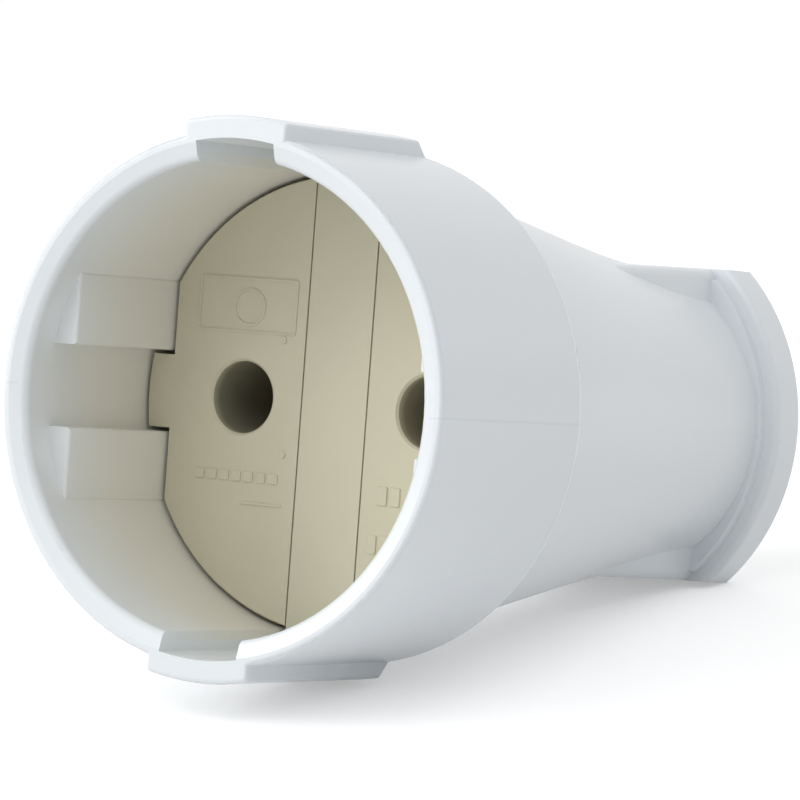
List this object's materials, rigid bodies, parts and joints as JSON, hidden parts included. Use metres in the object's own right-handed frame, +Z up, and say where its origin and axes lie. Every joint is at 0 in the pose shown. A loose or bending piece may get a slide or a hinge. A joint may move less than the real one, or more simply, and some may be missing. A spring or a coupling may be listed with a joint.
{
  "type": "inline socket connector",
  "caption": "White flared inline socket: a round recess with pin holes in a beige insert, outer lugs, and a flanged rear end with a cord entry.",
  "frame": {"origin": "on the surface that the connector rests on, under the middle of its bounding box", "axes": "+Z up; +Y towards the rear cord entry, with the centre line 10 degrees below +Y; +X to the right pin hole as seen from the rear"},
  "size_m": [0.0438, 0.0758, 0.049],
  "materials": {
    "shell": "white, glossy",
    "insert": "beige, satin",
    "insert_cover": "beige, satin",
    "contact": "turned brass",
    "spring": "spring steel",
    "screw": "zinc-plated steel",
    "saddle": "dull moulded plastic"
  },
  "bodies": {
    "root": {"shell": "shell", "insert_carrier": "insert", "left_contact_cover": "insert_cover", "right_contact_cover": "insert_cover", "left_contact": "contact", "right_contact": "contact", "left_contact_spring": "spring", "right_contact_spring": "spring", "terminal_screws": "screw", "cord_clamp_saddle": "saddle", "cord_clamp_screws": "screw", "cord_clamp_nuts": "screw"}
  },
  "joints": []
}
